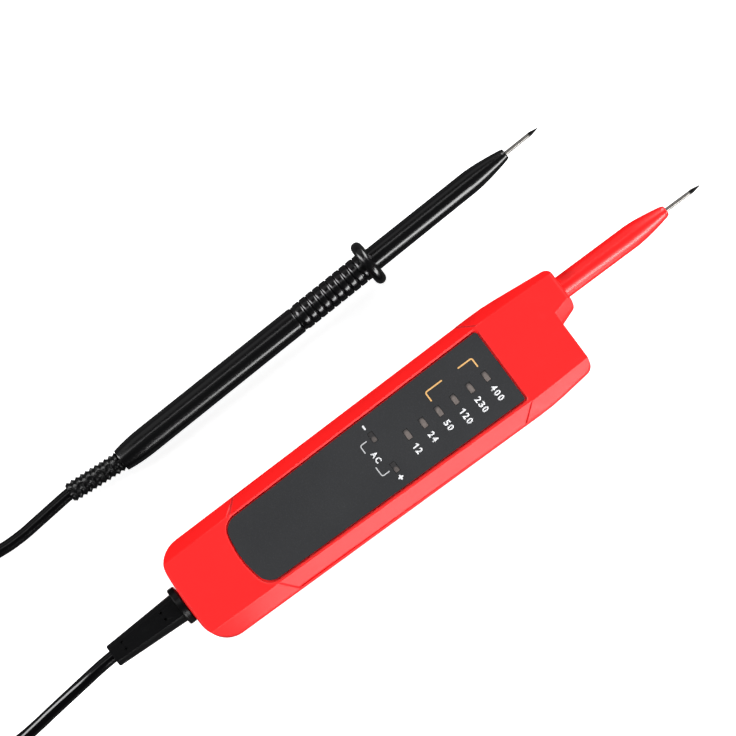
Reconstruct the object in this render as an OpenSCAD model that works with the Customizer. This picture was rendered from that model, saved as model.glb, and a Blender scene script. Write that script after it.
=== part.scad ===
// Two-pole voltage tester: a hand-held unit with lamps and a needle finger, joined by one lead
// to a black hand-held probe. The unit lies on its back, with +X towards its needle and +Z up.
// The origin is on the rest face of the rear shell, below the middle of the housing.

/* [Housing] */
// Length from the cord end to the step beside the nose
body_len = 170.5; // [160:0.5:190]
// Half width of the housing, extended to the cord end
tail_half_w = 20.4; // [19:0.1:24]
// Half width of the housing at its widest place
head_half_w = 21.85; // [20:0.05:26]
// Distance from the widest place to the step
head_len = 20.5; // [18:0.5:24]
// Angle at which each side of the head narrows
head_taper = 6.5; // [4:0.5:8]
// Depth of the front shell
front_h = 8.5; // [8:0.25:11]
// Depth of the rear shell
rear_h = 17.5; // [16:0.5:24]
// Wall thickness of both shells
wall = 2.2; // [1.8:0.1:2.6]
// Thickness of the front face
face_wall = 2.4; // [2:0.1:2.8]
// Radius of the corners at the cord end, seen from the front
tail_corner_r = 10; // [5:0.5:12]
// How far the cord end bulges in its middle
tail_bulge = 1.1; // [0.4:0.1:2]
// How far the tail end's slant moves each of its corners
tail_slant = 0.6; // [0:0.1:1]
// Radius of the long edges of the rear shell
back_r = 7; // [4:0.5:9]

/* [Front face] */
// Half width of the flat front face, extended to the cord end
face_half_tail = 15; // [13:0.25:16]
// Half width of the flat front face at the widest place
face_half_head = 17.1; // [15:0.05:18]
// Half width of the flat front face at the step
face_half_step = 16.4; // [14:0.1:17]
// Sideways reach of the sloping flanks
flank_w = 5.6; // [5:0.1:8]
// Radius of the crease between the front face and the flanks
crease_r = 0.4; // [0.2:0.1:2]
// Radius of the front edge at the cord end and on the nose
end_edge_r = 1.6; // [0.8:0.1:2]
// Depth of the grip recess at the crease
grip_depth = 0.3; // [0.2:0.05:0.8]
// Length of the ramp at each end of the grip recess
grip_ramp = 0.35; // [0.25:0.05:4]
// Start of the grip recess at the crease
grip_x0 = 29; // [24:1:34]
// Distance from the grip recess to the widest place
grip_end = 3.5; // [0:0.5:8]
// How much shorter the grip recess is at its lower edge, at each end
grip_skew = 8; // [4:1:12]

/* [Nose] */
// Length of the nose beyond the step
nose_len = 7.8; // [6:0.1:12]
// Side of the nose nearest the middle, at the step
nose_low_root = -0.3; // [-2:0.05:2]
// Side of the nose nearest the middle, at its end
nose_low_tip = 2.5; // [0:0.1:3]
// Sideways reach of the nose's sloping flank at the step
nose_flank_root = 3.85; // [3:0.05:5]
// Sideways reach of the nose's sloping flank at its end
nose_flank_tip = 3.2; // [2.5:0.05:5]
// Radius of the outer corner of the nose
nose_corner_r = 3.3; // [1:0.1:4]
// Radius of the outer corner beside the step
step_corner_r = 4; // [1:0.1:6]

/* [Finger and needle] */
// Distance of the finger from the middle of the housing
finger_y = 10.2; // [9.6:0.1:10.6]
// Radius of the finger
finger_r = 4.45; // [4:0.05:5]
// Length of the finger beyond the nose
finger_len = 47.1; // [30:0.1:60]
// Length of the pointed end of the finger
finger_ogive = 16; // [12:0.5:20]
// Radius of the finger where the needle comes out
finger_tip_r = 2.1; // [1.9:0.1:3]
// Radius of both needles where they are bare
needle_r = 0.8; // [0.6:0.05:1]
// Bare length of the needle of the unit
needle_len = 15.2; // [10:0.1:20]
// Length of the sharpened end of both needles
needle_taper = 3.3; // [2:0.1:5]
// Radius of both needles inside their mouldings
shank_r = 1.25; // [1.1:0.05:1.5]

/* [Panel and lamps] */
// Start of the face panel
panel_x0 = 25; // [24:0.1:30]
// How far the panel's round tail end stands out past its corners
panel_bulge = 3; // [1:0.5:5]
// Distance from the face panel to the widest place
panel_end = 6; // [3:0.25:8]
// Half width of the face panel at its start
panel_half_tail = 14.4; // [13:0.1:14.5]
// Half width of the face panel at its end
panel_half_head = 16; // [15:0.1:16.3]
// Thickness of the face panel
panel_t = 1; // [0.8:0.1:1.2]
// Depth of the panel's face below the front face
panel_sink = 0.2; // [0.1:0.05:0.3]
// Width of the slope that leads down from the face to the panel
panel_lip_w = 0.9; // [0.3:0.1:1.2]
// Height of that slope
panel_lip_h = 0.35; // [0.2:0.05:0.6]
// Corner radius of the panel at the cord end
panel_tail_r = 6.5; // [2:0.1:8]
// Corner radius of the panel at the head
panel_head_r = 1.6; // [0.8:0.1:3]
// Distance from the last lamp to the end of the face panel
lamp_end = 7.25; // [6:0.05:12]
// Spacing of the lamps in the row
lamp_pitch = 7.06; // [6:0.01:7.1]
// Sideways place of the lamp row
lamp_y = 0.2; // [-1:0.1:1]
// Distance from the polarity lamps to the first lamp in the row
polarity_back = 10.8; // [10:0.1:14]
// Half distance between the two polarity lamps
polarity_half = 6.8; // [5:0.1:7]
// Width of a lamp along the housing
lamp_w = 2; // [1.6:0.1:2.2]
// Length of a lamp across the housing
lamp_l = 4; // [3.6:0.1:5]

/* [Inside] */
// Thickness of the circuit board
board_t = 1.6; // [1:0.2:2]
// Height of the lamp cells between the board and the front face
cell_h = 3.1; // [2.6:0.1:3.4]
// Half width of the circuit board
board_half_w = 13.5; // [12:0.5:14]
// Start of the circuit board
board_x0 = 12; // [11:0.5:14]
// Distance from the circuit board to the step
board_end = 16; // [15:0.5:22]
// Distance from the start of the circuit board to its first screw
board_screw_x = 44; // [40:1:45]
// Distance from the start of the circuit board to the input resistors
resistor_x = 16; // [14:1:18]
// Distance from the start of the circuit board to the thermistor
thermistor_x = 49; // [48:0.5:50]
// Distance from the start of the circuit board to the chip
chip_x = 64; // [54:1:64]
// Distance from the rectifier to the end of the circuit board
rectifier_end = 57; // [54:1:58]
// Distance from the capacitor to the end of the circuit board
capacitor_end = 26; // [18:1:27]
// Place of the housing screws at the cord end
screw_x0 = 20; // [18:0.5:22]
// Distance from the housing screws at the head to the step
screw_end_x = 28; // [27:0.5:32]
// Sideways place of the housing screws
screw_y = 11; // [10:0.25:11.5]
// Radius of the housing screws' shanks
screw_r = 1.3; // [1.1:0.05:1.5]
// Radius of the housing screws' heads
screw_head_r = 2.6; // [2.2:0.1:2.8]
// Height of the screw heads' seats above the rest face
screw_seat_z = 12; // [8:0.5:13]

/* [Boot of the unit] */
// Length of the tapered boot behind its collar
boot_len = 29.6; // [20:0.1:40]
// Radius of the boot at the cord
boot_tip_r = 4.45; // [3.5:0.05:5]
// Radius of the boot at its collar
boot_root_r = 5.8; // [5:0.1:6.5]
// Height of the boot's flat faces above its axis, as a share of its radius
boot_flat = 0.8; // [0.7:0.01:0.95]
// Radius of the boot's collar
collar_r = 7.6; // [6.5:0.05:8]
// Thickness of the boot's collar
collar_t = 2.9; // [2:0.1:4]
// Radius of the boot's neck in the end wall
neck_r = 4.5; // [3.5:0.1:5]
// Radius of the boot's flange inside the housing
inner_flange_r = 5.9; // [5.2:0.1:5.9]

/* [Black probe] */
// Place of the finger guard along the unit
probe_x = 42; // [30:0.5:60]
// Place of the finger guard beside the unit
probe_y = 60.4; // [50:0.1:80]
// Turn of the probe away from the unit's length
probe_yaw = 1.8; // [0:0.1:5]
// Radius of the finger guard
guard_r = 9.12; // [7.5:0.01:11]
// Thickness of the finger guard
guard_t = 4.3; // [3:0.1:5]
// Radius of the handle
handle_r = 5.33; // [5.1:0.01:6]
// Distance from the finger guard to the rear end of the handle
handle_back = 115.6; // [100:0.1:130]
// Length of the ribbed grip behind the finger guard
grip_len = 32.9; // [20:0.1:40]
// Number of ribs on the grip
rib_count = 10; // [6:1:14]
// Radius of the grip over its ribs
rib_r = 5.3; // [4.9:0.05:5.5]
// Depth of the grooves between the ribs
rib_depth = 0.4; // [0.2:0.05:0.5]
// Length of the barrel in front of the finger guard
barrel_len = 64; // [40:0.1:80]
// Radius of the barrel at the guard
barrel_root_r = 4.54; // [4:0.02:4.8]
// Radius of the barrel where its point begins
barrel_front_r = 4.4; // [3.8:0.02:4.6]
// Length of the barrel's point
barrel_ogive = 17.5; // [10:0.5:20]
// Radius of the barrel where the needle comes out
barrel_tip_r = 2.1; // [1.8:0.1:2.6]
// Bare length of the needle of the probe
probe_needle_len = 14.9; // [10:0.1:20]
// Length of the probe's ribbed boot
probe_boot_len = 22.4; // [14:0.1:30]
// Radius of the ribbed boot over its ribs
probe_boot_r = 3.94; // [3.5:0.02:4.2]
// Radius of the ribbed boot between its ribs
probe_boot_core_r = 3.15; // [2.7:0.05:3.3]
// Number of ribs on the boot
boot_ribs = 11; // [6:1:14]
// Sideways bend of the ribbed boot
boot_bend = 6.2; // [0:0.2:8]
// Radius of the bore in the handle
handle_bore_r = 3.3; // [3:0.1:3.6]

/* [Lead] */
// Diameter of the lead
lead_d = 4.7; // [3.5:0.1:5]
// Radius of the coil's outermost turn
coil_r = 33; // [28:0.5:40]
// Radius of the coil's innermost turn
coil_inner_r = 18.3; // [16:0.1:22]

/* [Hidden] */
$fn = 48;
gap = 0.1;
slip = 0.05;
core_r = 1.1;
shank_out = 0.1;
far = 40;

// Heights
part_z = rear_h;
body_h = rear_h + front_h;
cavity_top = body_h - face_wall;
board_top = cavity_top - cell_h;
board_low = board_top - board_t;
panel_top = body_h - panel_sink;
axis_z = part_z;
nose_x = body_len + nose_len;

// Places along the housing, reckoned back from the step
head_x = body_len - head_len;
grip_x1 = head_x - grip_end;
panel_x1 = head_x - panel_end;
lamp_x0 = panel_x1 - lamp_end - 5 * lamp_pitch;
polarity_x = lamp_x0 - polarity_back;
board_x1 = body_len - board_end;
screw_x1 = body_len - screw_end_x;

// Functions that round a polygon's corners: each corner is [x, y, radius]
function unit(v) = v / norm(v);
function wrapped(a) = a > 180 ? a - 360 : a < -180 ? a + 360 : a;
function arc(c, r, a0, sweep, n) = [for (i = [0:n]) let (a = a0 + sweep * i / n)
    c + r * [cos(a), sin(a)]];
function corner_arc(p, a, b, r, half) =
    let (c = p + unit(a + b) * r / sin(half), s = p + a * r / tan(half) - c, e = p + b * r / tan(half) - c)
    let (a0 = atan2(s[1], s[0]), sweep = wrapped(atan2(e[1], e[0]) - a0))
    arc(c, r, a0, sweep, max(2, ceil(abs(sweep) / 9)));
function corner(p, a, b, r) = corner_arc(p, a, b, r, acos(a * b) / 2);
function xy(p) = [p[0], p[1]];
function rounded(ps) = [for (i = [0:len(ps) - 1]) each
    let (n = len(ps), p = xy(ps[i]), q = xy(ps[(i + n - 1) % n]), s = xy(ps[(i + 1) % n]))
    ps[i][2] == 0 ? [p] : corner(p, unit(q - p), unit(s - p), ps[i][2])];

// Plan of the housing, seen from the front
head_drop = (body_len - head_x) * tan(head_taper);
step_half_w = head_half_w - head_drop;
nose_half_w = head_half_w - (nose_x - head_x) * tan(head_taper);
kink_r = 90;
end_r = 110;
tail_corners = [[tail_bulge + tail_slant, tail_half_w, tail_corner_r], [0, 0, end_r],
    [tail_bulge - tail_slant, -tail_half_w, tail_corner_r]];
step_corner = [body_len, -step_half_w, step_corner_r];
nose_corners = [[body_len, nose_low_root, 0.8], [nose_x, nose_low_tip, 2.6],
    [nose_x, nose_half_w, nose_corner_r]];
plan = rounded(concat(tail_corners, [[head_x, -head_half_w, kink_r], step_corner], nose_corners,
    [[head_x, head_half_w, kink_r]]));
main_plan = rounded(concat(tail_corners, [[head_x, -head_half_w, kink_r], step_corner,
    [body_len, step_half_w, step_corner_r], [head_x, head_half_w, kink_r]]));
cavity_plan = rounded(concat(tail_corners, [[head_x, -head_half_w, kink_r], [body_len, -step_half_w, 3.5],
    [body_len, step_half_w, 3.5], [head_x, head_half_w, kink_r]]));
nose_plan = rounded([[head_x, nose_low_root - 6, 0], [body_len, nose_low_root, 0],
    [nose_x, nose_low_tip, 2.6], [nose_x, nose_half_w, nose_corner_r], [head_x, head_half_w, 0]]);

// Flank: a slope that runs down from the crease
flank_angle = atan2(front_h, flank_w);
flank_len = norm([front_h, flank_w]);
inner_shift = flank_w * face_wall / front_h - wall * flank_len / front_h;

// Region outside a slope that starts at [y, z], with its edge rounded
function slope_profile(y, z, angle, r) =
    let (t = r * tan(angle / 2), run = angle < 90 ? far / 2 : r)
    concat([[y - t, z + 3]], arc([y - t, z - r], r, 90, -angle, 6),
        [[y + run * cos(angle), z - run * sin(angle)], [y + far, z - run * sin(angle)], [y + far, z + 3]]);

// Panel and lamps
panel_corners = [[panel_x0 + panel_bulge, panel_half_tail, panel_tail_r], [panel_x0, 0, 36],
    [panel_x0 + panel_bulge, -panel_half_tail, panel_tail_r], [panel_x1, -panel_half_head, panel_head_r],
    [panel_x1, panel_half_head, panel_head_r]];
lamp_places = concat([for (i = [0:5]) [lamp_x0 + i * lamp_pitch, lamp_y]],
    [[polarity_x, lamp_y + polarity_half], [polarity_x, lamp_y - polarity_half]]);
lamp_rim = 0.3;
lamp_top = panel_top - 0.1;

// The finger's flange stands between the end wall and a rib
finger_root = body_len - wall;
rib_t = 1.6;

// Screws
screw_places = [for (x = [screw_x0, screw_x1], y = [-screw_y, screw_y]) [x, y]];
post_r = 2.8;
seat_r = screw_head_r + 1.7;
screw_head_h = 2;
screw_end = cavity_top - 1;
screw_inset = 4;
board_screw_places = [[board_x0 + board_screw_x, 0], [board_x1 - screw_inset, -5]];
board_screw_r = 1;
board_post_r = 2.4;

// Black probe: it rests on its guard and on the rear of its handle
handle_shoulder = handle_back - 11.6;
handle_drop = 0.95;
rest_back = handle_shoulder + (handle_back - handle_shoulder) / 6;
probe_pitch = atan2(guard_r - handle_r + handle_drop / 36, rest_back);
rim_r = guard_t / 2;
probe_z = (guard_r - rim_r) * cos(probe_pitch) + rim_r;
spigot_r = handle_bore_r - slip;
spigot_len = 14;
boot_plug_len = 8;

// Lead
lead_r = lead_d / 2;
tie_t = 0.5;
tie_w = 6;
coil_place = [-187, 46];
coil_layer = lead_d + 0.1;
coil_low = tie_t;
coil_high = coil_low + lead_d + coil_layer;
unit_side_route = [[-117.9, 0, 17.5], [-124, -0.35, 17.3], [-131, -1, 16.2], [-139, -1.65, 13.6],
    [-147, -2.25, 10.3], [-155, -2.9, 6.9], [-163, -3.3, 4.3], [-172, -3, 2.9], [-181, -0.7, 2.6],
    [-189.5, 3.5, 2.7], [-197.3, 9.7, 2.8]];
probe_side_route = [[-154.6, 65.4, 5.1], [-146.2, 61.4, 3.4], [-137.5, 58.6, 2.6], [-128.5, 57, 2.4],
    [-119.3, 56.7, 2.4], [-111, 57.3, 2.9], [-103, 57.95, 3.6], [-96.2, 58.44, 4.1]];

module in_frame() {
    translate([-body_len / 2, 0, 0])
        children();
}

module in_probe() {
    translate([probe_x, probe_y, probe_z])
        rotate([0, -probe_pitch, probe_yaw])
            children();
}

// A revolved profile of [distance along x, radius], turned to lie along +X
module turned(points) {
    rotate([0, 90, 0])
        rotate_extrude()
            polygon([for (p = points) [p[1], p[0]]]);
}

module rod(x0, x1, r) {
    translate([x0, 0, 0])
        rotate([0, 90, 0])
            cylinder(r = r, h = x1 - x0);
}

// A tube of ten sides along a route, with a ring at each point
function along(p, i) = unit(p[min(i + 1, len(p) - 1)] - p[max(i - 1, 0)]);
function across(t) = unit(cross([0, 0, 1], t));
function ring(c, t, r, sides) = [for (k = [0:sides - 1])
    c + r * (cos(360 * k / sides) * across(t) + sin(360 * k / sides) * cross(t, across(t)))];
module tube(route, r, sides = 10) {
    n = len(route);
    points = [for (i = [0:n - 1]) each ring(route[i], along(route, i), r, sides)];
    walls = [for (i = [0:n - 2], k = [0:sides - 1])
        let (a = i * sides, b = a + sides, j = (k + 1) % sides)
        each [[a + k, a + j, b + j], [a + k, b + j, b + k]]];
    ends = [[for (k = [0:sides - 1]) sides - 1 - k], [for (k = [0:sides - 1]) (n - 1) * sides + k]];
    polyhedron(points, concat(walls, ends));
}

// Housing

// Cuts what lies outside a slope along the line from a to b
module slope_cut(a, b, z, angle, r, shift = 0, drop = 0) {
    d = b - a;
    translate([a[0], a[1], z])
        rotate([0, 0, atan2(d[1], d[0])])
            translate([-far / 2, 0, 0])
                rotate([90, 0, 90])
                    linear_extrude(norm(d) + far)
                        polygon(slope_profile(shift, -drop, angle, r));
}

module flank_cuts(r, shift, drop) {
    crease = [[0, face_half_tail], [head_x, face_half_head], [body_len, face_half_step]];
    for (side = [0, 1], i = [0, 1])
        mirror([0, side, 0])
            slope_cut(crease[i], crease[i + 1], body_h, flank_angle, r, shift, drop);
}

module nose_flank_cut() {
    root = [body_len, -nose_low_root - nose_flank_root];
    tip = [nose_x, -nose_low_tip - nose_flank_tip];
    intersection() {
        mirror([0, 1, 0])
            slope_cut(root, tip, body_h, flank_angle, crease_r);
        translate([body_len, -far / 2, part_z + 0.5])
            cube([far, far, far]);
    }
}

// The hand's grip recess: the flank is a little steeper between two steps that run askew down it
module grip_cut() {
    dir = unit([head_x, face_half_head - face_half_tail]);
    side = [-dir[1], dir[0]];
    down = [cos(flank_angle), -sin(flank_angle)];
    out = [sin(flank_angle), cos(flank_angle)];
    low = 0.93 * flank_len;
    deep = -1.5;
    high = 3;
    function at(x, along_slope, rise) =
        let (o = [0, face_half_tail] + dir * x, s = down * along_slope + out * rise)
        [o[0] + side[0] * s[0], o[1] + side[1] * s[0], body_h + s[1]];
    lean = grip_ramp / grip_depth;
    function ends(along_slope, rise, skew) = let (o = skew - lean * rise)
        [at(grip_x0 + o, along_slope, rise), at(grip_x1 - o, along_slope, rise)];
    top = ends(-2, deep, 0);
    foot = ends(low, deep, grip_skew);
    top_out = ends(-2, high, 0);
    foot_out = ends(low, high, grip_skew);
    points = [top[0], top[1], foot[1], foot[0], top_out[0], top_out[1], foot_out[1], foot_out[0]];
    intersection() {
        polyhedron(points, [[0, 1, 2, 3], [4, 5, 1, 0], [7, 6, 5, 4], [5, 6, 2, 1], [6, 7, 3, 2], [7, 4, 0, 3]]);
        slope_cut([0, face_half_tail], [head_x, face_half_head], body_h, flank_angle + 1.8, crease_r,
            -grip_depth / 2 / sin(flank_angle));
    }
}

module front_form() {
    difference() {
        translate([0, 0, part_z])
            linear_extrude(front_h)
                polygon(plan);
        flank_cuts(crease_r, 0, 0);
        nose_flank_cut();
        slope_cut([0, -far], [0, far], body_h, 90, end_edge_r);
        mirror([1, 0, 0])
            slope_cut([-nose_x, -far], [-nose_x, far], body_h, 90, end_edge_r);
    }
}

module front_cavity() {
    difference() {
        translate([0, 0, part_z - 1])
            linear_extrude(cavity_top - part_z + 1)
                offset(delta = -wall)
                    polygon(cavity_plan);
        flank_cuts(0.5, inner_shift, face_wall);
    }
}

// Slices that get smaller towards the back, so that the long edges are round
module rounded_back(shape_inset, radius, low, high) {
    hull() {
        translate([0, 0, low + radius])
            linear_extrude(high - low - radius)
                offset(delta = -shape_inset)
                    children();
        for (a = [22.5, 45, 67.5, 90])
            translate([0, 0, low + radius * (1 - sin(a))])
                linear_extrude(0.02)
                    offset(delta = -shape_inset - radius * (1 - cos(a)))
                        children();
    }
}

// Bores that both shells share: the finger's and the boot's
module shared_bores() {
    translate([0, finger_y, axis_z])
        rod(body_len - wall - 1, nose_x + 1, finger_r + slip);
    translate([0, 0, axis_z])
        rod(-1, wall + 2, neck_r + slip);
}

// Rib across the housing that stands behind the finger's flange
module finger_rib(low, high) {
    difference() {
        translate([finger_root - 3 - slip - rib_t, finger_y - inner_flange_r - 2, low])
            cube([rib_t, 2 * inner_flange_r + 2, high - low]);
        translate([0, finger_y, axis_z])
            rod(finger_root - 8, finger_root, shank_r + 1.2);
    }
}

// The slope that leads down from the face to the panel
module panel_lip() {
    run = (panel_lip_w - gap) / panel_lip_h;
    hull()
        for (z = [-panel_lip_h - 0.2, 0.5])
            translate([0, 0, body_h + z])
                linear_extrude(0.01)
                    offset(delta = panel_lip_w + z * run)
                        polygon(rounded(panel_corners));
}

module front_shell() {
    color("#e8282c")
        in_frame()
            difference() {
                union() {
                    difference() {
                        front_form();
                        front_cavity();
                    }
                    for (p = screw_places)
                        translate([p[0], p[1], part_z])
                            cylinder(r = post_r, h = cavity_top - part_z + 0.5);
                    for (p = board_screw_places)
                        translate([p[0], p[1], board_top])
                            cylinder(r = board_post_r, h = cavity_top - board_top + 0.5);
                    finger_rib(part_z, cavity_top + 0.5);
                }
                for (side = [0, 1])
                    mirror([0, side, 0])
                        grip_cut();
                translate([0, 0, panel_top - panel_t])
                    linear_extrude(panel_t + 1)
                        offset(delta = gap)
                            polygon(rounded(panel_corners));
                panel_lip();
                for (p = lamp_places)
                    translate([p[0], p[1], cavity_top])
                        cube([lamp_w + 2 * lamp_rim, lamp_l + 2 * lamp_rim, 2 * face_wall], center = true);
                for (p = screw_places)
                    translate([p[0], p[1], part_z - 1])
                        cylinder(r = screw_r + slip, h = screw_end - part_z + 1 + gap);
                for (p = board_screw_places)
                    translate([p[0], p[1], board_top - 1])
                        cylinder(r = board_screw_r + slip, h = cell_h + 0.5);
                shared_bores();
            }
}

seal_h = 1;
seal_out = 0.7;
seal_in = 1.5;

module seal_band(extra) {
    difference() {
        linear_extrude(seal_h)
            difference() {
                offset(delta = -seal_out + extra)
                    polygon(plan);
                offset(delta = -seal_in - extra)
                    polygon(plan);
            }
        translate([-1, -neck_r - 1.5 + extra, -1])
            cube([wall + 6, 2 * neck_r + 3 - 2 * extra, seal_h + 2]);
        translate([body_len - 1, finger_y - finger_r - 1.5 + extra, -1])
            cube([nose_len + 2, 2 * finger_r + 3 - 2 * extra, seal_h + 2]);
    }
}

module rear_shell() {
    color("#e8282c")
        in_frame()
            difference() {
                union() {
                    difference() {
                        union() {
                            rounded_back(0, back_r, 0, part_z)
                                polygon(main_plan);
                            rounded_back(0, 4, 4, part_z)
                                polygon(nose_plan);
                        }
                        rounded_back(wall, back_r - wall, wall, part_z + 1)
                            polygon(cavity_plan);
                    }
                    for (p = screw_places)
                        translate([p[0], p[1], wall / 2])
                            cylinder(r = seat_r, h = part_z - wall / 2);
                    finger_rib(wall / 2, part_z);
                }
                for (p = screw_places) {
                    translate([p[0], p[1], -1])
                        cylinder(r = screw_head_r + 0.3, h = screw_seat_z + 1);
                    translate([p[0], p[1], 0])
                        cylinder(r = screw_r + 0.2, h = part_z + 1);
                }
                translate([0, 0, part_z - seal_h])
                    seal_band(slip);
                shared_bores();
            }
}

module sealing_cord() {
    color("#202022")
        in_frame()
            translate([0, 0, part_z - seal_h])
                seal_band(0);
}

module face_panel() {
    color("#434447")
        in_frame()
            difference() {
                translate([0, 0, panel_top - panel_t])
                    linear_extrude(panel_t)
                        polygon(rounded(panel_corners));
                for (p = lamp_places)
                    translate([p[0], p[1], panel_top])
                        cube([lamp_w + 2 * gap, lamp_l + 2 * gap, 3 * panel_t], center = true);
            }
}

module housing_screws() {
    color("#8c8e92")
        in_frame()
            for (p = screw_places)
                translate([p[0], p[1], screw_seat_z])
                    difference() {
                        union() {
                            translate([0, 0, -screw_head_h])
                                cylinder(r = screw_head_r, h = screw_head_h);
                            cylinder(r = screw_r, h = screw_end - screw_seat_z - 1);
                            translate([0, 0, screw_end - screw_seat_z - 1])
                                cylinder(r1 = screw_r, r2 = 0.3, h = 1);
                        }
                        for (turn = [0, 90])
                            rotate([0, 0, turn])
                                translate([0, 0, -screw_head_h])
                                    cube([3, 0.6, 2.2], center = true);
                    }
}

// Finger and needle

// Profile of a moulding's end that gets thinner over a length and closes round the needle
function pointed(x, length, r, tip_r, bend, soft) = concat(
    [for (i = [0:8]) [x - length * (1 - i * 0.94 / 8), r - (r - tip_r) * pow(i * 0.94 / 8, bend)]],
    [for (a = [0:22.5:90]) [x - soft + soft * sin(a), tip_r - soft + soft * cos(a)]], [[x, 0]]);

// Profile of a needle outside its mouth at x, where the thicker shank stands a little out
function bare_needle(x, length) = [[x + shank_out, shank_r], [x + shank_out, needle_r],
    [x + length - needle_taper, needle_r], [x + length - 0.3, 0.2], [x + length, 0.05], [x + length, 0]];

module probe_finger() {
    x1 = nose_x + finger_len;
    point = pointed(x1, finger_ogive, finger_r, finger_tip_r, 1.5, 0.7);
    color("#e8282c")
        in_frame()
            translate([0, finger_y, axis_z])
                difference() {
                    turned(concat([[finger_root - 3, 0], [finger_root - 3, inner_flange_r],
                        [finger_root, inner_flange_r], [finger_root, finger_r]], point));
                    rod(finger_root - 4, x1 + 1, shank_r + slip);
                }
}

needle_back = finger_root - 3 - 6;

module main_needle() {
    tip = nose_x + finger_len;
    color("#b9bcc0")
        in_frame()
            translate([0, finger_y, axis_z])
                turned(concat([[needle_back, 0], [needle_back, shank_r]], bare_needle(tip, needle_len)));
}

module needle_terminal() {
    tab_len = 12;
    color("#c8a24a")
        in_frame()
            translate([0, finger_y, axis_z])
                difference() {
                    union() {
                        rod(needle_back, finger_root - 3, shank_r + 0.7);
                        translate([board_x1 - tab_len + 4, -2, board_low - axis_z - 0.6])
                            cube([needle_back - board_x1 + tab_len - 2, 4, 0.6]);
                    }
                    rod(needle_back - 1, finger_root, shank_r + slip);
                }
}

// Circuit board and what stands on it
resistor_places = [for (y = [-6, -2, 2, 6]) [board_x0 + resistor_x, y]];
resistor_pitch = 14;
thermistor_place = [board_x0 + thermistor_x, 6];
thermistor_r = 4.5;
capacitor_place = [board_x1 - capacitor_end, 7];
chip_place = [board_x0 + chip_x, -4];
rectifier_place = [board_x1 - rectifier_end, 3];
capacitor_r = 3.2;
lamp_lead_half = 1.27;
wire_r = 0.3;
hole_r = 0.45;
tail_post_cut = post_r + 0.4;

module circuit_board() {
    color("#2f6b3f")
        in_frame()
            difference() {
                translate([board_x0, -board_half_w, board_low])
                    cube([board_x1 - board_x0, 2 * board_half_w, board_t]);
                for (p = screw_places)
                    translate([p[0], p[1], board_low - 1])
                        cylinder(r = tail_post_cut, h = board_t + 2);
                for (p = screw_places)
                    translate([p[0], p[1] > 0 ? p[1] + 2 : p[1] - 2, board_low + board_t / 2])
                        cube([2 * tail_post_cut, 4, board_t + 2], center = true);
                for (p = board_screw_places)
                    translate([p[0], p[1], board_low - 1])
                        cylinder(r = board_screw_r + 0.2, h = board_t + 2);
                for (p = lamp_places, s = [-1, 1])
                    translate([p[0], p[1] + s * lamp_lead_half, board_low - 1])
                        cylinder(r = hole_r, h = board_t + 2);
                for (p = resistor_places, s = [0, resistor_pitch])
                    translate([p[0] + s, p[1], board_low - 1])
                        cylinder(r = hole_r, h = board_t + 2);
            }
}

module board_screws() {
    color("#a5a7aa")
        in_frame()
            for (p = board_screw_places)
                translate([p[0], p[1], board_low])
                    difference() {
                        union() {
                            translate([0, 0, -1.2])
                                cylinder(r = 1.9, h = 1.2);
                            cylinder(r = board_screw_r, h = board_t + cell_h - 1);
                        }
                        translate([0, 0, -1.2])
                            cube([2.6, 0.5, 1], center = true);
                    }
}

module lamp_cells() {
    margin = 1.4;
    x0 = polarity_x - lamp_w / 2 - margin;
    x1 = lamp_x0 + 5 * lamp_pitch + lamp_w / 2 + margin;
    half = lamp_l / 2 + margin;
    opening = 2 * lamp_rim + 2 * gap;
    color("#1c1c1e")
        in_frame()
            difference() {
                translate([0, 0, board_top])
                    linear_extrude(cell_h)
                        union() {
                            translate([x0, lamp_y - half])
                                square([x1 - x0, 2 * half]);
                            translate([x0, lamp_y - polarity_half - half])
                                square([lamp_w + 2 * margin, 2 * (polarity_half + half)]);
                        }
                for (p = lamp_places)
                    translate([p[0], p[1], board_top + cell_h / 2])
                        cube([lamp_w + opening, lamp_l + opening, cell_h + 1], center = true);
            }
}

// A lamp with a rim at its foot and two wires
module lamp(index) {
    p = lamp_places[index];
    color("#8a7b74")
        in_frame()
            translate([p[0], p[1], board_top]) {
                translate([-lamp_w / 2 - lamp_rim, -lamp_l / 2 - lamp_rim, 0])
                    cube([lamp_w + 2 * lamp_rim, lamp_l + 2 * lamp_rim, 0.8]);
                translate([-lamp_w / 2, -lamp_l / 2, 0])
                    cube([lamp_w, lamp_l, lamp_top - board_top]);
                for (s = [-1, 1])
                    translate([0, s * lamp_lead_half, -board_t - 0.8])
                        cylinder(r = wire_r, h = board_t + 1);
            }
}

module input_resistors() {
    body = 9;
    r = 1.6;
    a = (resistor_pitch - body) / 2;
    b = a + body;
    color("#3f6f8c")
        in_frame()
            for (p = resistor_places)
                translate([p[0], p[1], board_low - r - 0.2]) {
                    turned([[a, 0], [a, r - 0.3], [a + 0.4, r], [a + 1.8, r], [a + 2.3, r - 0.3],
                        [b - 2.3, r - 0.3], [b - 1.8, r], [b - 0.4, r], [b, r - 0.3], [b, 0]]);
                    rod(0, resistor_pitch, wire_r);
                    for (s = [0, resistor_pitch])
                        translate([s, 0, 0])
                            cylinder(r = wire_r, h = r + 0.2 + board_t);
                }
}

module thermistor() {
    color("#c98a2e")
        in_frame()
            translate([thermistor_place[0], thermistor_place[1], board_low - thermistor_r - 1]) {
                translate([-1.6, 0, 0])
                    rotate([0, 90, 0])
                        cylinder(r = thermistor_r, h = 3.2);
                for (s = [-2.5, 2.5])
                    translate([0, s, 0])
                        cylinder(r = wire_r, h = thermistor_r + 1);
            }
}

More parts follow.
